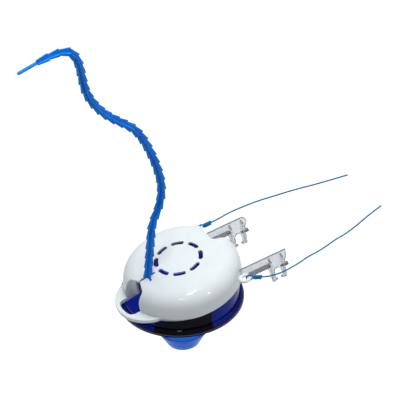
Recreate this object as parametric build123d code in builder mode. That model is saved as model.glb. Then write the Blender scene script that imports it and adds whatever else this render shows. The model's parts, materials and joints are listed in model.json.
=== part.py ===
"""Floating pool cleaner head: a white domed cover over a clear blue bowl, with a barbed tail."""
import os
from math import cos, pi, radians, sin, tan

from build123d import *

os.makedirs("parts", exist_ok=True)

# Frame: origin at the centre of the outlet's lower end, +Z up along the outlet,
# -X towards the mouth, +X towards the wall clips, +Y to the left clip.

# General fits
WALL = 2.2
FIT = 0.4
SEAT = 0.1
CUT = 200.0

# Outlet funnel
OUTLET_BORE = 20.0
OUTLET_WALL = 2.0
OUTLET_HALF_ANGLE = 29.0
OUTLET_CONE = 23.5
OUTLET_HEIGHT = 44.0
OUTLET_SOCKET = 10.0
OUTLET_STEP = 1.3
OUTLET_FLANGE = 8.0
OUTLET_FLANGE_THICK = 2.5
SEAL_HEIGHT = 6.0
SEAL_SIZE = 2.0
SEAL_DEPTH = 1.6
SEAL_SINK = 0.2

# Bowl, in a lower dish, a gasket at its rim and an upper band on a rounded rim
BOWL_RADIUS = 82.0
BOWL_WALL = 2.5
BOWL_MIDDLE = 72.0
BOWL_RIM = 2.0
BOWL_FLOOR_EDGE = 3.0
RIM_SEAL_HEIGHT = 1.4
RIM_SEAL_WIDTH = 1.6
RIM_SEAL_PROUD = 0.2
BAND_INSET = 5.0
RIM_RISE = 6.0

# Dome cover, leaning towards the mouth
DOME_INSET = 4.0
DOME_LEAN = 9.5
DOME_X = 5.0
DOME_Z = 100.0
DOME_SKIRT = 11.0
DOME_SHOULDER = 23.0
DOME_CROWN_SLOPE = 6.0
RELIEF_INSET = 26.5
RELIEF_SIDE = 6.0
RELIEF_CORNER = 8.0
VENT_COUNT = 8
VENT_RADIUS = 29.7
VENT_WIDTH = 6.0
VENT_ARC = 22.0

# Mouth, its flared channel and its lip
MOUTH_TURN = 5.5
MOUTH_DEPTH = 17.5
MOUTH_SIDE_DEPTH = 11.5
MOUTH_HALF_WIDTH = 17.0
MOUTH_ROUND = 5.0
MOUTH_SLOT = 1.3
MOUTH_ARCH = 15.0
TAIL_WINDOW = 8.0
TAIL_WINDOW_HEIGHT = 30.0
LIP_SETBACK = 29.0
LIP_RADIUS = 48.5
LIP_BAND = 5.5
LIP_HEIGHT = 5.0
LIP_ROUND = 1.5
LIP_HOLE_ROUND = 8.0

# Tail strap and the cross-shaped keyhole that it passes
KEYHOLE_INSET = 31.0
KEYHOLE_HEIGHT = 34.7
STRAP_LEAN = 6.5
STRAP_STRAIGHT = 76.5
STRAP_END_WAY = (-1, -0.2)
BARB_SPAN = 6.6
BARB_NECK = 4.3
BARB_THICK = 1.9
BARB_COUNT = 34
BARB_OVERLAP = 1.6
CORE_HALF = 2.3
TIP_RADIUS = 2.4
STRAP_BELOW = 30.0
KEYHOLE_FIT = 0.5
GROMMET_RADIUS = 12.0
GROMMET_THICK = 1.6
KEYHOLE_SPARE = 3.0
# Points of the tail's middle line above its straight foot, from the keyhole
STRAP_LINE = [
    (16.7, 98), (25.7, 134), (21.7, 169), (7.7, 215), (-8.3, 246), (-35.3, 272),
    (-61.3, 305), (-73.3, 335), (-82.3, 388), (-93.3, 404), (-117, 406), (-136, 402),
]
STRAP_TIP = (-163.5, 394)

# Deck, its screws and the floats on it
DECK_WIDTH = 28.0
DECK_THICK = 2.0
BOSS_INSET = 16.0
BOSS_ANGLES = (62.0, 138.0, -62.0, -138.0)
BOSS_RADIUS = 4.0
SCREW_RADIUS = 1.5
SCREW_HEAD_RADIUS = 3.0
SCREW_HEAD_HEIGHT = 2.2
SCREW_LENGTH = 12.0
FLOAT_INSET = 10.0
FLOAT_WIDTH = 15.0
FLOAT_HEIGHT = 18.0
FLOAT_START = 74.0
FLOAT_ARC = 52.0

# Wall clips
CLIP_SIDE = 45.0
CLIP_TOP = 13.2
LEFT_CLIP_REACH = 36.2
RIGHT_CLIP_REACH = 51.5
ARM_THICK = 2.5
ARM_HEIGHT = 12.4
ARM_GRIP = 7.0
ARM_CORNER = 8.0
CLIP_SHOULDER = 16.0
ARCH_TOP = 23.5
ARCH_WIDTH = 8.4
ARCH_MIDDLE = 16.5
LEG_LENGTH = 43.5
LEG_TOP_WIDTH = 8.8
LEG_FOOT_WIDTH = 5.0
TOE = 2.0
FIN_DEPTH = 8.0
FIN_THICK = 2.4
FIN_SETBACK = 7.9
FIN_PITCH = 17.2
FLANGE_THICK = 2.0
FLANGE_START = 56.0
CLAMP_DROP = 19.5
CLAMP_SIDE = 5.0
CLAMP_FIT = 0.05
CLAMP_LENGTH = 6.0
CLAMP_RADIUS = 1.6
CLAMP_HEAD_RADIUS = 2.6
CLAMP_HEAD_LENGTH = 4.5
SOCKET_SETBACK = 3.0
SOCKET_LENGTH = 14.0
SOCKET_HALF_WIDTH = 5.5
SOCKET_ROOF = 2.5

# Cord eyelets, knots and cords
EYELET_ANGLES = {"left": 52.0, "right": -41.0}
EYELET_REACH = 7.5
EYELET_HEIGHT = 6.0
EYELET_RING = 6.0
EYELET_SECTION = 2.6
RING_SIDES = 8
CORD_RADIUS = 1.0
CORD_RISE = 16.0
LOOP_RING = 4.2
KNOT_WRAPS = 6
KNOT_RING = 2.1
KNOT_GROOVE = 0.6
KNOT_PITCH = 1.9
ARC_SHARE = 0.45
# Points of each cord's route on the water line, from its eyelet to its cut end
LEFT_CORD = [
    (33.1, 5.6), (50.1, 11.1), (72.1, 14.1), (96.1, 16.1), (120.1, 15.4), (146.1, 15.2),
    (182.1, 11.8), (222.1, 10.6),
]
RIGHT_CORD = [
    (27.3, -9.9), (42.3, -10.9), (57.3, -8.4), (73.3, -3.9), (93.3, 4.1), (106.3, 6.6),
    (122.3, 12.1), (138.3, 19.1), (155.3, 23.6), (179.3, 34.6), (200.3, 46.1), (221.3, 55.1),
]

# Sizes that follow from the bowl's radius
dome_radius = BOWL_RADIUS - DOME_INSET
relief_rear = dome_radius - RELIEF_INSET
mouth_back = dome_radius - MOUTH_DEPTH
mouth_corner = dome_radius - MOUTH_SIDE_DEPTH
lip_centre = dome_radius - LIP_SETBACK
boss_circle = dome_radius - BOSS_INSET
socket_rear = relief_rear - SOCKET_SETBACK
eyelet_out = dome_radius + EYELET_REACH
arm_length = dome_radius + RIGHT_CLIP_REACH - socket_rear + ARM_GRIP

# Planes and axes
lean = radians(DOME_LEAN)
turn = radians(MOUTH_TURN)
dome_rear = Vector(cos(lean), 0, sin(lean))
dome_up = Vector(-sin(lean), 0, cos(lean))
mouth_rear = dome_rear * cos(turn) + Vector(0, 1, 0) * sin(turn)
mouth_side = mouth_rear.cross(dome_up)
dome_base = Plane(origin=(DOME_X, 0, DOME_Z), x_dir=dome_rear, z_dir=dome_up)
mouth_base = Plane(origin=(DOME_X, 0, DOME_Z), x_dir=mouth_rear, z_dir=dome_up)
dome_section = Plane(origin=(DOME_X, 0, DOME_Z), x_dir=dome_rear, z_dir=(0, -1, 0))
dome_axis = Axis((DOME_X, 0, DOME_Z), dome_up)
strap_way = Vector(sin(radians(STRAP_LEAN)), 0, cos(radians(STRAP_LEAN)))
keyhole_middle = mouth_base.from_local_coords(Vector(KEYHOLE_INSET - dome_radius, 0, KEYHOLE_HEIGHT))
keyhole = Plane(origin=keyhole_middle, x_dir=(0, 1, 0), z_dir=strap_way)


def on_dome(rear, side, up):
    """The point at these distances from the middle of the cover's base."""
    return dome_base.from_local_coords(Vector(rear, side, up))


def finish(builder, name):
    """Name a finished piece and write it out."""
    builder.part.label = name
    export_step(builder.part, f"parts/{name}.step")


def bun_outline(inset):
    """Half of the cover's outline, drawn inside its outer face by inset."""
    radius = dome_radius - inset
    corner = DOME_SHOULDER - inset
    slope = radians(DOME_CROWN_SLOPE)
    crown_start = radius - corner + corner * sin(slope)
    crown_radius = crown_start / sin(slope)
    apex = DOME_SKIRT + corner * cos(slope) + crown_radius * (1 - cos(slope))
    middle = (crown_radius * sin(slope / 2), apex - crown_radius * (1 - cos(slope / 2)))
    with BuildSketch(dome_section) as outline:
        with BuildLine():
            skirt = Line((radius, 0), (radius, DOME_SKIRT))
            shoulder = JernArc(skirt @ 1, (0, 1), corner, 90 - DOME_CROWN_SLOPE)
            ThreePointArc(shoulder @ 1, middle, (0, apex))
            Polyline((0, apex), (0, 0), (radius, 0))
        make_face()
    return outline.sketch


def mouth_plan(grow):
    """The mouth seen along the cover's axis, grown outwards all round."""
    with BuildSketch(mouth_base) as plan:
        with BuildLine():
            Polyline(
                (-mouth_back, MOUTH_SLOT),
                (-mouth_corner, MOUTH_HALF_WIDTH),
                (-CUT, MOUTH_HALF_WIDTH),
                (-CUT, -MOUTH_HALF_WIDTH),
                (-mouth_corner, -MOUTH_HALF_WIDTH),
                (-mouth_back, -MOUTH_SLOT),
                close=True,
            )
        make_face()
        corners = plan.vertices().filter_by_position(Axis.X, -mouth_corner - SEAT, -mouth_corner + SEAT)
        fillet(corners, MOUTH_ROUND)
        if grow > 0:
            offset(amount=grow)
    return plan.sketch


def relief_plan(grow):
    """The flat relief behind the left clip, grown outwards all round."""
    reach = CUT + grow
    with BuildSketch(dome_base) as plan:
        with Locations((relief_rear - grow, RELIEF_SIDE - grow)):
            Rectangle(reach, reach, align=(Align.MIN, Align.MIN))
        corner = plan.vertices().sort_by_distance((relief_rear, RELIEF_SIDE))[0]
        fillet(corner, RELIEF_CORNER + grow)
    return plan.sketch


def cross_plan(plane, span, grow):
    """The tail's section: four fins of this half-span round a square core, grown by a fit."""
    thick = BARB_THICK + 2 * grow
    core = 2 * (CORE_HALF + grow)
    with BuildSketch(plane) as plan:
        Rectangle(2 * (span + grow), thick)
        Rectangle(thick, 2 * (span + grow))
        Rectangle(core, core)
    return plan.sketch


def ring_section(plane, centre, radius):
    """A many-sided cord or ring section, drawn on a plane at a distance from its axis."""
    with BuildSketch(plane) as section:
        with Locations((centre, 0)):
            RegularPolygon(radius, RING_SIDES, rotation=180 / RING_SIDES)
    return section.sketch


# Outlet funnel with a socket for the suction hose
outlet_outer = OUTLET_BORE + OUTLET_WALL
cone_radius = outlet_outer + OUTLET_CONE * tan(radians(OUTLET_HALF_ANGLE))
flange_radius = cone_radius + OUTLET_FLANGE
neck_radius = cone_radius - OUTLET_STEP
neck_inner = neck_radius - OUTLET_WALL
neck_top = OUTLET_HEIGHT + BOWL_WALL
groove_radius = OUTLET_BORE + SEAL_DEPTH
with BuildPart() as outlet_funnel:
    with BuildSketch(Plane.XZ):
        with BuildLine():
            Polyline(
                (OUTLET_BORE, 0),
                (outlet_outer, 0),
                (cone_radius, OUTLET_CONE),
                (cone_radius, OUTLET_HEIGHT - OUTLET_FLANGE_THICK),
                (flange_radius, OUTLET_HEIGHT - OUTLET_FLANGE_THICK),
                (flange_radius, OUTLET_HEIGHT),
                (neck_radius, OUTLET_HEIGHT),
                (neck_radius, neck_top),
                (neck_inner, neck_top),
                (neck_inner, OUTLET_CONE),
                (OUTLET_BORE, OUTLET_SOCKET),
                (OUTLET_BORE, SEAL_HEIGHT + SEAL_SIZE),
                (groove_radius, SEAL_HEIGHT + SEAL_SIZE),
                (groove_radius, SEAL_HEIGHT),
                (OUTLET_BORE, SEAL_HEIGHT),
                close=True,
            )
        make_face()
    revolve(axis=Axis.Z)
finish(outlet_funnel, "outlet_funnel")

# Seal in the outlet's groove
with BuildPart() as outlet_seal:
    with BuildSketch(Plane.XY.offset(SEAL_HEIGHT)):
        Circle(groove_radius)
        Circle(OUTLET_BORE + SEAL_SINK, mode=Mode.SUBTRACT)
    extrude(amount=SEAL_SIZE)
finish(outlet_seal, "outlet_seal")

# Lower dish of the bowl
seal_low = BOWL_MIDDLE - RIM_SEAL_HEIGHT / 2
seal_high = BOWL_MIDDLE + RIM_SEAL_HEIGHT / 2
rim_low = seal_low - BOWL_RIM
seal_inner = BOWL_RADIUS - RIM_SEAL_WIDTH
band_radius = BOWL_RADIUS - BAND_INSET
band_inner = band_radius - BOWL_WALL
hole_radius = neck_radius + SEAT
floor_radius = flange_radius + BOWL_FLOOR_EDGE
dish_slope = (rim_low - OUTLET_HEIGHT) / (BOWL_RADIUS - floor_radius)
with BuildPart() as lower_bowl:
    with BuildSketch(Plane.XZ):
        with BuildLine():
            Polyline(
                (hole_radius, OUTLET_HEIGHT),
                (floor_radius, OUTLET_HEIGHT),
                (BOWL_RADIUS, rim_low),
                (BOWL_RADIUS, seal_low),
                (seal_inner, seal_low),
                (seal_inner, seal_high),
                (band_inner, seal_high),
                (band_inner, neck_top + dish_slope * (band_inner - floor_radius)),
                (floor_radius, neck_top),
                (hole_radius, neck_top),
                close=True,
            )
        make_face()
    revolve(axis=Axis.Z)
finish(lower_bowl, "lower_bowl")

# Gasket at the bowl's rim
with BuildPart() as rim_seal:
    with BuildSketch(Plane.XY.offset(seal_low)):
        Circle(BOWL_RADIUS + RIM_SEAL_PROUD)
        Circle(seal_inner, mode=Mode.SUBTRACT)
    extrude(amount=RIM_SEAL_HEIGHT)
finish(rim_seal, "rim_seal")

# Upper band of the bowl on its rounded rim, cut on the cover's slope
rim_top = seal_high + RIM_RISE
rim_middle = (band_radius + BAND_INSET * cos(pi / 4), seal_high + RIM_RISE * sin(pi / 4))
with BuildPart() as upper_band:
    with BuildSketch(Plane.XZ):
        with BuildLine():
            ThreePointArc((BOWL_RADIUS, seal_high), rim_middle, (band_radius, rim_top))
            Polyline(
                (band_radius, rim_top),
                (band_radius, CUT),
                (band_inner, CUT),
                (band_inner, seal_high),
                (BOWL_RADIUS, seal_high),
            )
        make_face()
    revolve(axis=Axis.Z)
    split(bisect_by=dome_base.offset(-DECK_THICK), keep=Keep.BOTTOM)
finish(upper_band, "upper_band")

# Places on the cover that several pieces share
boss_places = [(boss_circle * cos(radians(a)), boss_circle * sin(radians(a))) for a in BOSS_ANGLES]
clip_sides = {"left": CLIP_SIDE, "right": -CLIP_SIDE}
clip_ends = {"left": dome_radius + LEFT_CLIP_REACH, "right": dome_radius + RIGHT_CLIP_REACH}
eyelets = {
    hand: on_dome(eyelet_out * cos(radians(angle)), eyelet_out * sin(radians(angle)), EYELET_HEIGHT)
    for hand, angle in EYELET_ANGLES.items()
}

# Walls that close the cover round the mouth, with a window for the tail's foot
with BuildPart() as mouth_walls:
    extrude(mouth_plan(WALL), amount=CUT)
    with BuildSketch(mouth_base):
        with Locations((-mouth_back, 0)):
            Rectangle(2 * MOUTH_HALF_WIDTH, 2 * TAIL_WINDOW)
    extrude(amount=TAIL_WINDOW_HEIGHT, mode=Mode.SUBTRACT)
    # Arch that lets the water in under the back wall
    with BuildSketch(Plane(origin=mouth_base.origin, x_dir=mouth_side, z_dir=-mouth_rear)):
        with BuildLine():
            Polyline((-MOUTH_HALF_WIDTH, 0), (0, MOUTH_ARCH), (MOUTH_HALF_WIDTH, 0), close=True)
        make_face()
    extrude(amount=dome_radius, mode=Mode.SUBTRACT)

# Hollow of the cover
with BuildPart() as hollow:
    revolve(bun_outline(WALL), axis=dome_axis)
    extrude(relief_plan(WALL), amount=CUT, mode=Mode.SUBTRACT)
    add(mouth_walls.part, mode=Mode.SUBTRACT)

# Screw pillars, trimmed to end inside the cover's wall
with BuildPart() as pillars:
    with BuildSketch(dome_base):
        with Locations(boss_places):
            Circle(BOSS_RADIUS)
    extrude(amount=CUT)
    revolve(bun_outline(WALL / 2), axis=dome_axis, mode=Mode.INTERSECT)

# Domed cover
with BuildPart() as dome_cover:
    revolve(bun_outline(0), axis=dome_axis)
    extrude(relief_plan(0), amount=CUT, mode=Mode.SUBTRACT)
    add(hollow.part, mode=Mode.SUBTRACT)
    add(pillars.part)
    for centre in eyelets.values():
        ring_plane = Plane(origin=centre, x_dir=dome_rear, z_dir=(0, -1, 0))
        revolve(ring_section(ring_plane, EYELET_RING, EYELET_SECTION), axis=Axis(centre, dome_up))
    extrude(mouth_plan(0), amount=CUT, both=True, mode=Mode.SUBTRACT)
    # Slot from the mouth to the keyhole
    with BuildSketch(mouth_base.offset(TAIL_WINDOW_HEIGHT)):
        with Locations((-mouth_back, 0)):
            Rectangle(2 * (KEYHOLE_INSET - MOUTH_DEPTH), 2 * MOUTH_SLOT)
    extrude(amount=CUT, mode=Mode.SUBTRACT)
    shown_hole = cross_plan(keyhole, BARB_SPAN + KEYHOLE_SPARE, KEYHOLE_FIT)
    extrude(shown_hole, amount=MOUTH_HALF_WIDTH, both=True, mode=Mode.SUBTRACT)
    # Ring of vent slots
    with BuildSketch(dome_base.offset(TAIL_WINDOW_HEIGHT)):
        with BuildLine():
            vent_line = CenterArc((0, 0), VENT_RADIUS, -VENT_ARC / 2, VENT_ARC)
        with PolarLocations(0, VENT_COUNT, start_angle=180 / VENT_COUNT):
            SlotArc(vent_line, VENT_WIDTH)
    extrude(amount=CUT, mode=Mode.SUBTRACT)
    # Slots for the clip arms
    for side in clip_sides.values():
        arm_start = on_dome(socket_rear - SOCKET_LENGTH, side, 0)
        with BuildSketch(Plane(origin=arm_start, x_dir=(0, 1, 0), z_dir=dome_rear)):
            with Locations((0, CLIP_TOP + FIT)):
                Rectangle(ARM_THICK + 2 * FIT, ARM_HEIGHT + 2 * FIT, align=(Align.CENTER, Align.MAX))
        extrude(amount=dome_radius, mode=Mode.SUBTRACT)
    # Screw holes in the pillars
    with BuildSketch(dome_base):
        with Locations(boss_places):
            Circle(SCREW_RADIUS)
    extrude(amount=SCREW_LENGTH, mode=Mode.SUBTRACT)
finish(dome_cover, "dome_cover")

# Crescent lip round the mouth
with BuildPart() as mouth_lip:
    with BuildSketch(mouth_base.offset(-DECK_THICK)):
        with Locations((-lip_centre, 0)):
            Circle(LIP_RADIUS)
        Circle(dome_radius + SEAT, mode=Mode.SUBTRACT)
    extrude(amount=LIP_HEIGHT)
    outer_edges = mouth_lip.edges().sort_by(SortBy.LENGTH)[-2:]
    fillet(outer_edges.sort_by(dome_axis)[-1], LIP_ROUND)
    with BuildSketch(mouth_base.offset(-DECK_THICK)) as lip_hole:
        with Locations((-lip_centre, 0)):
            Circle(LIP_RADIUS - LIP_BAND)
            Rectangle(2 * LIP_RADIUS, 2 * MOUTH_HALF_WIDTH, mode=Mode.INTERSECT)
        fillet(lip_hole.vertices().group_by(Axis.X)[0], LIP_HOLE_ROUND)
    extrude(amount=LIP_HEIGHT, mode=Mode.SUBTRACT)
finish(mouth_lip, "mouth_lip")

# Deck between the cover and the bowl
with BuildPart() as deck:
    with BuildSketch(dome_base.offset(-DECK_THICK)):
        Circle(dome_radius)
        Circle(dome_radius - DECK_WIDTH, mode=Mode.SUBTRACT)
        with Locations(boss_places):
            Circle(SCREW_RADIUS + FIT, mode=Mode.SUBTRACT)
    extrude(amount=DECK_THICK)
    with BuildSketch(mouth_base.offset(-DECK_THICK)):
        with Locations((-mouth_back, 0)):
            Rectangle(2 * MOUTH_HALF_WIDTH, 2 * MOUTH_HALF_WIDTH)
    extrude(amount=DECK_THICK, mode=Mode.SUBTRACT)
    extrude(mouth_plan(0), amount=CUT, both=True, mode=Mode.SUBTRACT)
finish(deck, "deck")

# Four deck screws, as a group
with BuildPart() as deck_screws:
    with BuildSketch(dome_base.offset(-DECK_THICK)):
        with Locations(boss_places):
            Circle(SCREW_HEAD_RADIUS)
    extrude(amount=-SCREW_HEAD_HEIGHT)
    with BuildSketch(dome_base.offset(-DECK_THICK)):
        with Locations(boss_places):
            Circle(SCREW_RADIUS)
    extrude(amount=SCREW_LENGTH)
finish(deck_screws, "deck_screws")

# Foam floats on the deck
float_outer = dome_radius - FLOAT_INSET
for name, start in (("left_float", FLOAT_START), ("right_float", -FLOAT_START - FLOAT_ARC)):
    with BuildPart() as float_block:
        with BuildSketch(dome_base):
            with BuildLine():
                outer = CenterArc((0, 0), float_outer, start, FLOAT_ARC)
                inner = CenterArc((0, 0), float_outer - FLOAT_WIDTH, start, FLOAT_ARC)
                Line(outer @ 0, inner @ 0)
                Line(outer @ 1, inner @ 1)
            make_face()
        extrude(amount=FLOAT_HEIGHT)
    finish(float_block, name)

# Grommet under the cover that guides the tail
with BuildPart() as keyhole_grommet:
    with BuildSketch(keyhole):
        Circle(GROMMET_RADIUS)
    extrude(amount=MOUTH_HALF_WIDTH, both=True)
    revolve(bun_outline(WALL + SEAT), axis=dome_axis, mode=Mode.INTERSECT)
    revolve(bun_outline(WALL + SEAT + GROMMET_THICK), axis=dome_axis, mode=Mode.SUBTRACT)
    extrude(mouth_plan(WALL + SEAT), amount=CUT, mode=Mode.SUBTRACT)
    guide_hole = cross_plan(keyhole, BARB_SPAN, KEYHOLE_FIT)
    extrude(guide_hole, amount=MOUTH_HALF_WIDTH, both=True, mode=Mode.SUBTRACT)
finish(keyhole_grommet, "keyhole_grommet")

# Barbed tail strap
foot = keyhole_middle - strap_way * STRAP_BELOW
straight_end = keyhole_middle + strap_way * STRAP_STRAIGHT
bend_points = [keyhole_middle + Vector(x, 0, z) for x, z in STRAP_LINE]
end_way = Vector(STRAP_END_WAY[0], 0, STRAP_END_WAY[1])
with BuildLine() as tail_line:
    Line(foot, straight_end)
    Spline(straight_end, *bend_points, tangents=[strap_way, end_way])
tail_wire = tail_line.wire()
stations = [tail_wire.position_at(i / BARB_COUNT) for i in range(BARB_COUNT + 1)]
with BuildPart() as tail_strap:
    for low, high in zip(stations, stations[1:]):
        run = (high - low).length
        barb_foot = Plane(origin=low, x_dir=(0, 1, 0), z_dir=high - low)
        barb_head = barb_foot.offset(run + BARB_OVERLAP)
        loft([cross_plan(barb_foot, BARB_SPAN, 0).face(), cross_plan(barb_head, BARB_NECK, 0).face()])
    rod_start = stations[-1]
    rod_end = keyhole_middle + Vector(STRAP_TIP[0], 0, STRAP_TIP[1])
    rod_foot = Plane(origin=rod_start, x_dir=(0, 1, 0), z_dir=rod_end - rod_start)
    with Locations(rod_foot.location):
        Cylinder(TIP_RADIUS, (rod_end - rod_start).length, align=(Align.CENTER, Align.CENTER, Align.MIN))
    with Locations(rod_end):
        Sphere(TIP_RADIUS)
finish(tail_strap, "tail_strap")

# Wall clips, their sockets and their clamp screws
arch_radius = ARCH_WIDTH / 2
outer_leg = ARCH_MIDDLE - arch_radius
inner_leg = ARCH_MIDDLE + arch_radius
arch_spring = ARCH_TOP + arch_radius
foot_middle = LEG_LENGTH - TOE
for hand, side in clip_sides.items():
    end = clip_ends[hand]
    clip_side_view = Plane(origin=on_dome(end, side, CLIP_TOP), x_dir=dome_rear, z_dir=(0, -1, 0))
    fin_face = Plane(origin=on_dome(end, side, CLIP_TOP), x_dir=(0, -1, 0), z_dir=dome_rear)
    flange_top = Plane(origin=on_dome(end, side, CLIP_TOP - ARM_HEIGHT), x_dir=dome_rear, z_dir=dome_up)
    with BuildPart() as clip:
        with BuildSketch(clip_side_view) as outline:
            with BuildLine():
                Polyline(
                    (-outer_leg, -arch_spring),
                    (-outer_leg + TOE / 2, -foot_middle + TOE),
                    (-outer_leg - TOE, -foot_middle),
                    (-outer_leg + TOE / 2, -LEG_LENGTH),
                    (-outer_leg + LEG_FOOT_WIDTH + TOE / 2, -LEG_LENGTH),
                    (-outer_leg + LEG_TOP_WIDTH, -CLIP_SHOULDER),
                    (0, -ARM_CORNER),
                    (0, 0),
                    (-arm_length, 0),
                    (-arm_length, -ARM_HEIGHT),
                    (-inner_leg - LEG_TOP_WIDTH, -ARM_HEIGHT),
                    (-inner_leg - LEG_FOOT_WIDTH - TOE / 2, -LEG_LENGTH),
                    (-inner_leg - TOE / 2, -LEG_LENGTH),
                    (-inner_leg + TOE, -foot_middle),
                    (-inner_leg - TOE / 2, -foot_middle + TOE),
                    (-inner_leg, -arch_spring),
                )
                ThreePointArc(
                    (-inner_leg, -arch_spring), (-ARCH_MIDDLE, -ARCH_TOP), (-outer_leg, -arch_spring)
                )
            make_face()
            fillet(outline.vertices().sort_by_distance(on_dome(end, side, CLIP_TOP))[0], ARM_CORNER - FIT)
        extrude(amount=ARM_THICK / 2, both=True)
        # Stiffening fins on both legs
        for setback in (FIN_SETBACK, FIN_SETBACK + FIN_PITCH):
            with BuildSketch(fin_face.offset(-setback)):
                with BuildLine():
                    Polyline(
                        (0, FIN_THICK),
                        (FIN_DEPTH, 2 * FIN_THICK),
                        (FIN_DEPTH, ARCH_TOP),
                        (FIN_DEPTH / 2, LEG_LENGTH - TOE),
                        (0, LEG_LENGTH - TOE),
                        close=True,
                    )
                make_face()
            extrude(amount=FIN_THICK / 2, both=True)
        # Flange along the foot of the arm, up to the inner fin
        with BuildSketch(flange_top):
            with Locations((-FLANGE_START, 0)):
                Rectangle(FLANGE_START - FIN_SETBACK - FIN_PITCH, FIN_DEPTH, align=(Align.MIN, Align.MAX))
        extrude(amount=FLANGE_THICK)
        # Hole for the clamp screw
        with BuildSketch(fin_face):
            with Locations((CLAMP_SIDE, CLAMP_DROP)):
                Circle(CLAMP_RADIUS + CLAMP_FIT)
        extrude(amount=-FIN_SETBACK - FIN_THICK, mode=Mode.SUBTRACT)
    finish(clip, f"{hand}_clip")

    with BuildPart() as clamp_screw:
        with BuildSketch(fin_face.offset(-FIN_SETBACK + FIN_THICK / 2 + SEAT)):
            with Locations((CLAMP_SIDE, CLAMP_DROP)):
                Circle(CLAMP_HEAD_RADIUS)
        extrude(amount=CLAMP_HEAD_LENGTH)
        with BuildSketch(fin_face.offset(-FIN_SETBACK + FIN_THICK / 2 + SEAT)):
            with Locations((CLAMP_SIDE, CLAMP_DROP)):
                Circle(CLAMP_RADIUS)
        extrude(amount=-CLAMP_LENGTH)
    finish(clamp_screw, f"{hand}_clamp_screw")

    socket_end = Plane(origin=on_dome(socket_rear, side, 0), x_dir=(0, 1, 0), z_dir=dome_rear)
    with BuildPart() as socket:
        with BuildSketch(socket_end):
            Rectangle(
                2 * SOCKET_HALF_WIDTH, CLIP_TOP + FIT + SOCKET_ROOF, align=(Align.CENTER, Align.MIN)
            )
            Rectangle(
                ARM_THICK + 2 * FIT, CLIP_TOP + FIT, align=(Align.CENTER, Align.MIN), mode=Mode.SUBTRACT
            )
        extrude(amount=-SOCKET_LENGTH)
    finish(socket, f"{hand}_socket")

# Knots on the eyelets and the cords that leave them
cord_z = DOME_Z + CORD_RISE
knot_inner = KNOT_RING - CORD_RADIUS
knot_outer = KNOT_RING + CORD_RADIUS
for hand, route in (("left", LEFT_CORD), ("right", RIGHT_CORD)):
    eyelet = eyelets[hand]
    route_points = [Vector(eyelet.X + x, eyelet.Y + y, cord_z) for x, y in route]
    pull = route_points[0] - eyelet
    outwards = (pull - dome_up * pull.dot(dome_up)).normalized()
    loop_centre = eyelet + outwards * EYELET_RING
    way = (route_points[0] - loop_centre).normalized()
    loop_axis = dome_up.cross(outwards)
    wraps_start = loop_centre + way * (LOOP_RING + CORD_RADIUS)
    loop_plane = Plane(origin=loop_centre, x_dir=way, z_dir=way.cross(loop_axis))
    wraps_plane = Plane(origin=wraps_start, x_dir=loop_axis, z_dir=loop_axis.cross(way))
    with BuildPart() as knot:
        revolve(ring_section(loop_plane, LOOP_RING, CORD_RADIUS), axis=Axis(loop_centre, loop_axis))
        # Wraps, as ridges between grooves
        with BuildSketch(wraps_plane):
            with BuildLine():
                ridges = [(knot_outer - KNOT_GROOVE, -CORD_RADIUS)]
                for wrap in range(KNOT_WRAPS):
                    ridges.append((knot_outer, (wrap + 0.5) * KNOT_PITCH))
                    ridges.append((knot_outer - KNOT_GROOVE, (wrap + 1) * KNOT_PITCH))
                wraps_end = (knot_inner, KNOT_WRAPS * KNOT_PITCH)
                Polyline((knot_inner, -CORD_RADIUS), *ridges, wraps_end, close=True)
            make_face()
        revolve(axis=Axis(wraps_start, way))
    finish(knot, f"{hand}_knot")

    points = [wraps_start] + route_points
    runs = [(b - a).length for a, b in zip(points, points[1:])]
    turns = [(b - a).get_angle(c - b) for a, b, c in zip(points, points[1:], points[2:])]
    bends = [
        ARC_SHARE * min(before, after) / tan(radians(turn / 2))
        for before, after, turn in zip(runs, runs[1:], turns)
    ]
    with BuildPart() as cord:
        with BuildLine() as cord_line:
            FilletPolyline(*points, radius=bends)
        with BuildSketch(Plane(origin=points[0], z_dir=points[1] - points[0])):
            Circle(CORD_RADIUS)
        sweep()
    finish(cord, f"{hand}_cord")
    tube_share = cord.part.volume / (pi * CORD_RADIUS**2 * cord_line.wire().length)
    print(hand, "cord length", round(cord_line.wire().length, 1), "bends", [round(b) for b in bends])
    print(hand, "cord volume share", round(tube_share, 4))
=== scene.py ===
"""Studio scene of the pool cleaner head: finishes, cords, light and the photograph's camera."""
import json
from math import cos, radians, sin, tau

import bpy
from mathutils import Matrix, Vector


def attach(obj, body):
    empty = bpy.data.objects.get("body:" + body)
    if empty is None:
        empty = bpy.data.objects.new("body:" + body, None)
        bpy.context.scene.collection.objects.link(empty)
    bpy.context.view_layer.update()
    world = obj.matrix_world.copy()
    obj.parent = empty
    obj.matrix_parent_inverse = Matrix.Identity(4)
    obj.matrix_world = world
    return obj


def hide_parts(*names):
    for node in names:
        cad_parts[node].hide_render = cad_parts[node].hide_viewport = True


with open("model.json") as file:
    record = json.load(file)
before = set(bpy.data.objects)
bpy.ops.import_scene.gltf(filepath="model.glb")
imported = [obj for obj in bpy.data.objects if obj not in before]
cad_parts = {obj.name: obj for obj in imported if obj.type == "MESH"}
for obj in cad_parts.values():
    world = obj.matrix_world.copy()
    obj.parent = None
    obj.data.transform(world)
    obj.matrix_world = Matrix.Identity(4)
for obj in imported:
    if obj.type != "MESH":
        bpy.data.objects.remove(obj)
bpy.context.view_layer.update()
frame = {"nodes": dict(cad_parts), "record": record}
nodes = frame["nodes"]

# Camera: the photograph's frame, a long lens and the place of the bowl's middle in it
IMAGE_SIZE = 400
METRES_PER_PIXEL = 0.0013
BOWL_MIDDLE = Vector((0, 0, 0.072))
BOWL_MIDDLE_PIXEL = (181.06, 296.44)
VIEW_AZIMUTH = -23.0
VIEW_ELEVATION = 38.4
VIEW_ROLL = 3.0
CAMERA_DISTANCE = 22.0
SENSOR = 0.036

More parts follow.
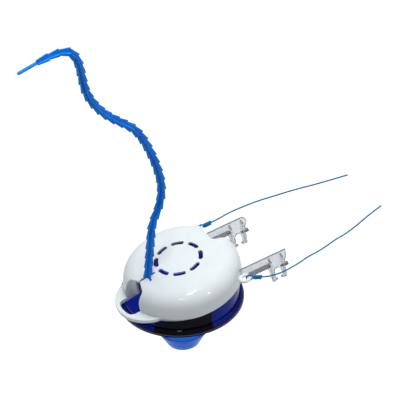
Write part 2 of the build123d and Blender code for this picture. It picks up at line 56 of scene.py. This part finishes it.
# Light and floor
FLOOR_DROP = 0.55
FLOOR_SIZE = 12.0
FLOOR_GLOW = 0.52
WORLD_STRENGTH = 0.2
LAMPS = [
    ("overhead", (0.4, 0.1, 2.5), (1.6, 1.6), 46.0, False),
    ("spot", (-0.27, -0.37, 1.95), (0.15, 0.5), 7.0, True),
    ("front", (-0.86, -0.94, 1.52), (0.3, 0.05), 1.2, True),
    ("strip", (0.56, -1.58, 1.06), (0.05, 0.5), 1.5, True),
]

# Painted shade along edges: how wide it is on clear plastic and on the tail's barbs
PAINTED_EDGE_SHADE_WIDTH = 0.0018
BARB_PAINTED_SHADE_WIDTH = 0.0013

# Clear plastic: painted shade over the bowl's front, which lies in shadow under the dome
PAINTED_FRONT_SHADE = (0.06, 0.05, 0.03)

# Grain of the finishes: the scales of their noise and of the cord's strands
MOTTLE_SCALE = 35.0
GLOSS_SCALE = 120.0
FLOW_SCALE = 18.0
CLEAR_GLOSS_SCALE = 90.0
RIPPLE_SCALE = 60.0
STEEL_SCALE = 400.0
BRUSHING_SCALE = 700.0
STRAND_SCALE = 260.0

# Cords, in metres: the route from the knot's start to the cut end
CORD_RADIUS = 0.001
CORD_HEIGHT = 0.116
LEFT_START = (0.06689, 0.06926, 0.11566)
RIGHT_START = (0.07809, -0.05992, 0.11716)
LEFT_ROUTE = [
    (0.089, 0.073), (0.106, 0.0785), (0.128, 0.0815), (0.152, 0.0835), (0.176, 0.0828),
    (0.202, 0.0826), (0.238, 0.0792), (0.278, 0.078),
]
RIGHT_ROUTE = [
    (0.095, -0.066), (0.110, -0.067), (0.125, -0.0645), (0.141, -0.060), (0.161, -0.052),
    (0.174, -0.0495), (0.190, -0.044), (0.206, -0.037), (0.223, -0.0325), (0.247, -0.0215),
    (0.268, -0.010), (0.289, -0.001),
]
LEFT_LENGTH = 0.2127
RIGHT_LENGTH = 0.2244

# Knots: a loop through the eyelet and a row of wraps round the cord
LEFT_LOOP = (0.06176, 0.06839, 0.11558)
RIGHT_LOOP = (0.0732, -0.05817, 0.1175)
LOOP_RADIUS = 0.0042
WRAP_RADIUS = 0.0021
WRAP_COUNT = 6
WRAP_LENGTH = 0.0105
WRAP_STEPS = 14
KNOT_CORD_RADIUS = 0.95 * CORD_RADIUS


def new_material(name):
    """An empty node material with its Principled shader."""
    material = bpy.data.materials.new(name)
    material.use_nodes = True
    shader = material.node_tree.nodes["Principled BSDF"]
    return material, material.node_tree, shader


def noise(tree, scale, detail=4.0):
    """Noise in object space at this scale."""
    place = tree.nodes.new("ShaderNodeTexCoord")
    texture = tree.nodes.new("ShaderNodeTexNoise")
    texture.inputs["Scale"].default_value = scale
    texture.inputs["Detail"].default_value = detail
    tree.links.new(place.outputs["Object"], texture.inputs["Vector"])
    return texture.outputs["Fac"]


def vary(tree, value, low, high):
    """Map a 0 to 1 value to a range."""
    ramp = tree.nodes.new("ShaderNodeMapRange")
    ramp.inputs["To Min"].default_value = low
    ramp.inputs["To Max"].default_value = high
    tree.links.new(value, ramp.inputs["Value"])
    return ramp.outputs["Result"]


def two_tone(tree, value, dark, light, start=0.3, end=0.7):
    """Blend two colours by a 0 to 1 value."""
    ramp = tree.nodes.new("ShaderNodeValToRGB")
    ramp.color_ramp.elements[0].color = (*dark, 1)
    ramp.color_ramp.elements[1].color = (*light, 1)
    ramp.color_ramp.elements[0].position = start
    ramp.color_ramp.elements[1].position = end
    tree.links.new(value, ramp.inputs["Fac"])
    return ramp.outputs["Color"]


def bump(tree, shader, height, strength, distance):
    """Raise the surface a little by a height value."""
    node = tree.nodes.new("ShaderNodeBump")
    node.inputs["Strength"].default_value = strength
    node.inputs["Distance"].default_value = distance
    tree.links.new(height, node.inputs["Height"])
    tree.links.new(node.outputs["Normal"], shader.inputs["Normal"])


def multiply(tree, first, second):
    """Multiply two linked colours."""
    node = tree.nodes.new("ShaderNodeMix")
    node.data_type = "RGBA"
    node.blend_type = "MULTIPLY"
    node.inputs["Factor"].default_value = 1.0
    tree.links.new(first, node.inputs["A"])
    tree.links.new(second, node.inputs["B"])
    return node.outputs["Result"]


def flatness(tree, width):
    """1 on flat places, less within a width of an edge."""
    rounded = tree.nodes.new("ShaderNodeBevel")
    rounded.inputs["Radius"].default_value = width
    surface = tree.nodes.new("ShaderNodeNewGeometry")
    match = tree.nodes.new("ShaderNodeVectorMath")
    match.operation = "DOT_PRODUCT"
    tree.links.new(rounded.outputs["Normal"], match.inputs[0])
    tree.links.new(surface.outputs["Normal"], match.inputs[1])
    return match.outputs["Value"]


def painted_edge_shade(tree, edge, width):
    """Painted shade: a colour at the edges, and white elsewhere."""
    return two_tone(tree, flatness(tree, width), edge, (1, 1, 1), 0.75, 0.995)


def moulded_plastic(name, dark, light, roughness, grain=900.0, edge=None, specular=0.5):
    """Opaque moulded plastic, mottled, unevenly glossy and finely grained, with painted shade at its edges
    if given.
    """
    material, tree, shader = new_material(name)
    colour = two_tone(tree, noise(tree, MOTTLE_SCALE), dark, light)
    # painted shade at the edges, where an edge colour is given
    if edge:
        colour = multiply(tree, colour, painted_edge_shade(tree, edge, BARB_PAINTED_SHADE_WIDTH))
    tree.links.new(colour, shader.inputs["Base Color"])
    shader.inputs["Specular IOR Level"].default_value = specular
    spread = vary(tree, noise(tree, GLOSS_SCALE), roughness * 0.85, roughness * 1.2)
    tree.links.new(spread, shader.inputs["Roughness"])
    bump(tree, shader, noise(tree, grain, 2.0), 0.05, 0.0002)
    return material


def painted_sector_shade(tree, start, end):
    """Painted shade between two angles round the bowl's axis, and white elsewhere."""
    place = tree.nodes.new("ShaderNodeTexCoord")
    turn = tree.nodes.new("ShaderNodeTexGradient")
    turn.gradient_type = "RADIAL"
    tree.links.new(place.outputs["Object"], turn.inputs["Vector"])
    ramp = tree.nodes.new("ShaderNodeValToRGB")
    ramp.color_ramp.interpolation = "CONSTANT"
    ramp.color_ramp.elements[0].color = (1, 1, 1, 1)
    ramp.color_ramp.elements[1].color = (1, 1, 1, 1)
    ramp.color_ramp.elements[1].position = 0.5 + end / 360
    ramp.color_ramp.elements.new(0.5 + start / 360).color = (*PAINTED_FRONT_SHADE, 1)
    tree.links.new(turn.outputs["Fac"], ramp.inputs["Fac"])
    return ramp.outputs["Color"]


def facing_up(tree):
    """The upward part of the surface's direction, 1 on level tops."""
    surface = tree.nodes.new("ShaderNodeNewGeometry")
    parts = tree.nodes.new("ShaderNodeSeparateXYZ")
    tree.links.new(surface.outputs["Normal"], parts.inputs["Vector"])
    return parts.outputs["Z"]


def clear_plastic(name, edge, dark, light, clearness, bend, painted_top_shade=None, painted_shade_sector=None):
    """Clear tinted plastic with a faint flow in its tint, painted shade at its edges and, if given,
    painted shade on its tops or over a sector.
    """
    material, tree, shader = new_material(name)
    tint = two_tone(tree, noise(tree, FLOW_SCALE), dark, light)
    # painted shade along the edges of the clear plastic
    tint = multiply(tree, tint, painted_edge_shade(tree, edge, PAINTED_EDGE_SHADE_WIDTH))
    # painted shade on level tops, darker the more they face up
    if painted_top_shade:
        tint = multiply(tree, tint, two_tone(tree, facing_up(tree), (1, 1, 1), painted_top_shade, 0.4, 0.8))
    # painted shade over a sector of the bowl, where the dome shades it
    if painted_shade_sector:
        tint = multiply(tree, tint, painted_sector_shade(tree, *painted_shade_sector))
    tree.links.new(tint, shader.inputs["Base Color"])
    tree.links.new(vary(tree, noise(tree, CLEAR_GLOSS_SCALE), 0.03, 0.06), shader.inputs["Roughness"])
    shader.inputs["Transmission Weight"].default_value = clearness
    shader.inputs["IOR"].default_value = bend
    bump(tree, shader, noise(tree, RIPPLE_SCALE, 2.0), 0.03, 0.0004)
    return material


def braided_cord(name, dark, light):
    """Twisted cord: slanting strands along the fibre, with fuzz."""
    material, tree, shader = new_material(name)
    place = tree.nodes.new("ShaderNodeTexCoord")
    wave = tree.nodes.new("ShaderNodeTexWave")
    wave.wave_type = "BANDS"
    wave.bands_direction = "DIAGONAL"
    wave.inputs["Scale"].default_value = STRAND_SCALE
    wave.inputs["Distortion"].default_value = 1.5
    tree.links.new(place.outputs["Object"], wave.inputs["Vector"])
    tree.links.new(two_tone(tree, wave.outputs["Fac"], dark, light), shader.inputs["Base Color"])
    shader.inputs["Roughness"].default_value = 0.75
    shader.inputs["Specular IOR Level"].default_value = 0.1
    bump(tree, shader, wave.outputs["Fac"], 0.5, 0.0003)
    return material


def brushed_steel(name):
    """Stainless steel with fine brushing."""
    material, tree, shader = new_material(name)
    colour = two_tone(tree, noise(tree, STEEL_SCALE), (0.5, 0.51, 0.52), (0.68, 0.69, 0.7))
    tree.links.new(colour, shader.inputs["Base Color"])
    shader.inputs["Metallic"].default_value = 1.0
    tree.links.new(vary(tree, noise(tree, BRUSHING_SCALE), 0.25, 0.4), shader.inputs["Roughness"])
    return material


finishes = {
    "white_plastic": moulded_plastic("white_plastic", (0.79, 0.84, 0.86), (0.83, 0.88, 0.90), 0.1),
    # navy_clear: the first colour is painted shade at the edges
    "navy_clear": clear_plastic(
        "navy_clear", (0.1, 0.1, 0.1), (0.009, 0.027, 0.42), (0.018, 0.042, 0.52), 0.6, 1.14,
        # painted shade over the bowl's front, in the dome's shadow
        painted_shade_sector=(-142, -84),
    ),
    # blue_clear: the first colour is a faint painted shade at the edges
    "blue_clear": clear_plastic(
        "blue_clear", (0.9, 0.9, 0.95), (0.03, 0.22, 0.94), (0.045, 0.27, 1.0), 0.45, 1.1
    ),
    # clear_plastic: the first colour is painted shade at the edges
    "clear_plastic": clear_plastic(
        "clear_plastic", (0.1, 0.1, 0.11), (0.84, 0.87, 0.9), (0.9, 0.93, 0.95), 0.65, 1.2,
        # painted shade on the clips' level tops
        painted_top_shade=(0.24, 0.25, 0.26),
    ),
    # tail_blue: its edge colour is painted shade along the barbs' edges and in the gaps between them
    "tail_blue": moulded_plastic(
        "tail_blue", (0.004, 0.24, 0.95), (0.012, 0.33, 1.0), 0.38, edge=(0.12, 0.12, 0.18), specular=0.2
    ),
    "black_rubber": moulded_plastic("black_rubber", (0.005, 0.007, 0.02), (0.01, 0.013, 0.04), 0.2),
    "steel": brushed_steel("steel"),
    "foam": moulded_plastic("foam", (0.66, 0.67, 0.69), (0.78, 0.79, 0.8), 0.85, grain=500.0),
    "grey_plastic": moulded_plastic("grey_plastic", (0.13, 0.14, 0.15), (0.2, 0.21, 0.22), 0.45),
    "cord_blue": braided_cord("cord_blue", (0.001, 0.1, 0.3), (0.004, 0.27, 0.62)),
}
for entry in frame["record"]["subparts"]:
    materials = nodes[entry["node"]].data.materials
    materials.clear()
    materials.append(finishes[entry["material_slot"]])


def nurbs_piece(name, points, radius, material):
    """A round cord along a smooth line with these control points."""
    curve = bpy.data.curves.new(name, "CURVE")
    curve.dimensions = "3D"
    curve.bevel_depth = radius
    curve.bevel_resolution = 4
    curve.resolution_u = 12
    curve.use_fill_caps = True
    spline = curve.splines.new("NURBS")
    spline.points.add(len(points) - 1)
    for target, point in zip(spline.points, points):
        target.co = (*point, 1)
    spline.order_u = 3
    spline.use_endpoint_u = True
    curve.materials.append(material)
    piece = bpy.data.objects.new(name, curve)
    bpy.context.scene.collection.objects.link(piece)
    return piece


def knot_points(loop, start, way):
    """A turn round the eyelet's ring, then wraps round the cord."""
    along = way.normalized()
    lift = Vector((0, 0, 1)) - along * along.z
    lift.normalize()
    across = along.cross(lift)
    points = []
    for step in range(WRAP_STEPS + 1):
        turn = tau * step / WRAP_STEPS
        points.append(loop + LOOP_RADIUS * (cos(turn) * along + sin(turn) * lift))
    for step in range(WRAP_COUNT * WRAP_STEPS + 1):
        turn = tau * step / WRAP_STEPS
        reach = WRAP_LENGTH * step / (WRAP_COUNT * WRAP_STEPS)
        points.append(start + along * reach + WRAP_RADIUS * (cos(turn) * lift + sin(turn) * across))
    return points


for hand, loop, start, route, length in (
    ("left", LEFT_LOOP, LEFT_START, LEFT_ROUTE, LEFT_LENGTH),
    ("right", RIGHT_LOOP, RIGHT_START, RIGHT_ROUTE, RIGHT_LENGTH),
):
    first = Vector(start)
    points = [first] + [Vector((x, y, CORD_HEIGHT)) for x, y in route]
    cord = nurbs_piece(f"{hand}_tie_cord", points, CORD_RADIUS, finishes["cord_blue"])
    knot = nurbs_piece(
        f"{hand}_tie_knot",
        knot_points(Vector(loop), first, points[1] - first),
        KNOT_CORD_RADIUS,
        finishes["cord_blue"],
    )
    for piece, node in ((cord, f"{hand}_cord"), (knot, f"{hand}_knot")):
        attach(piece, "head")
        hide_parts(node)


def camera():
    """The photograph's camera: direction, roll and framing by the bowl's middle."""
    azimuth, elevation, roll = radians(VIEW_AZIMUTH), radians(VIEW_ELEVATION), radians(VIEW_ROLL)
    towards = Vector((sin(azimuth) * cos(elevation), -cos(azimuth) * cos(elevation), sin(elevation)))
    right = Vector((cos(azimuth), sin(azimuth), 0))
    up = towards.cross(right)
    frame_right = right * cos(roll) - up * sin(roll)
    frame_up = right * sin(roll) + up * cos(roll)
    shift_x = (IMAGE_SIZE / 2 - BOWL_MIDDLE_PIXEL[0]) * METRES_PER_PIXEL
    shift_y = (BOWL_MIDDLE_PIXEL[1] - IMAGE_SIZE / 2) * METRES_PER_PIXEL
    centre = BOWL_MIDDLE + frame_right * shift_x + frame_up * shift_y
    data = bpy.data.cameras.new("camera")
    data.sensor_width = SENSOR * 1000
    data.lens = data.sensor_width * CAMERA_DISTANCE / (IMAGE_SIZE * METRES_PER_PIXEL)
    data.clip_end = 2 * CAMERA_DISTANCE
    body = bpy.data.objects.new("camera", data)
    turn = Matrix((frame_right, frame_up, towards)).transposed().to_4x4()
    body.matrix_world = Matrix.Translation(centre + towards * CAMERA_DISTANCE) @ turn
    bpy.context.scene.collection.objects.link(body)
    bpy.context.scene.camera = body


def lamp(name, place, size, power, mirrored):
    """An oblong lamp that points at the bowl's middle, and shows in gloss if mirrored."""
    data = bpy.data.lights.new(name, "AREA")
    data.shape = "RECTANGLE"
    data.size, data.size_y = size
    data.energy = power
    body = bpy.data.objects.new(name, data)
    body.location = BOWL_MIDDLE + Vector(place)
    body.rotation_euler = (-Vector(place)).to_track_quat("-Z", "Y").to_euler()
    body.visible_glossy = mirrored
    bpy.context.scene.collection.objects.link(body)


def seen_directly(tree):
    """1 for rays from the eye, off gloss or through clear plastic, and 0 for light itself."""
    path = tree.nodes.new("ShaderNodeLightPath")
    seen = path.outputs["Is Camera Ray"]
    for kind in ("Is Glossy Ray", "Is Transmission Ray"):
        either = tree.nodes.new("ShaderNodeMath")
        either.operation = "MAXIMUM"
        tree.links.new(seen, either.inputs[0])
        tree.links.new(path.outputs[kind], either.inputs[1])
        seen = either.outputs[0]
    return seen


def studio():
    """White surroundings, a floor that keeps its shadow and four soft lamps."""
    scene = bpy.context.scene
    scene.view_settings.view_transform = "Standard"
    world = bpy.data.worlds.new("studio")
    scene.world = world
    world.use_nodes = True
    tree = world.node_tree
    soft = tree.nodes["Background"]
    soft.inputs["Color"].default_value = (0.94, 0.97, 1.0, 1)
    tree.links.new(vary(tree, seen_directly(tree), WORLD_STRENGTH, 1.0), soft.inputs["Strength"])
    bpy.ops.mesh.primitive_plane_add(size=FLOOR_SIZE, location=(0, 0, -FLOOR_DROP))
    floor = bpy.context.object
    floor.name = "floor"
    material, floor_tree, shader = new_material("floor")
    shader.inputs["Base Color"].default_value = (0.9, 0.9, 0.9, 1)
    shader.inputs["Roughness"].default_value = 0.9
    shader.inputs["Emission Color"].default_value = (1, 1, 1, 1)
    glow = vary(floor_tree, seen_directly(floor_tree), 0.0, FLOOR_GLOW)
    floor_tree.links.new(glow, shader.inputs["Emission Strength"])
    floor.data.materials.append(material)
    for settings in LAMPS:
        lamp(*settings)


camera()
studio()
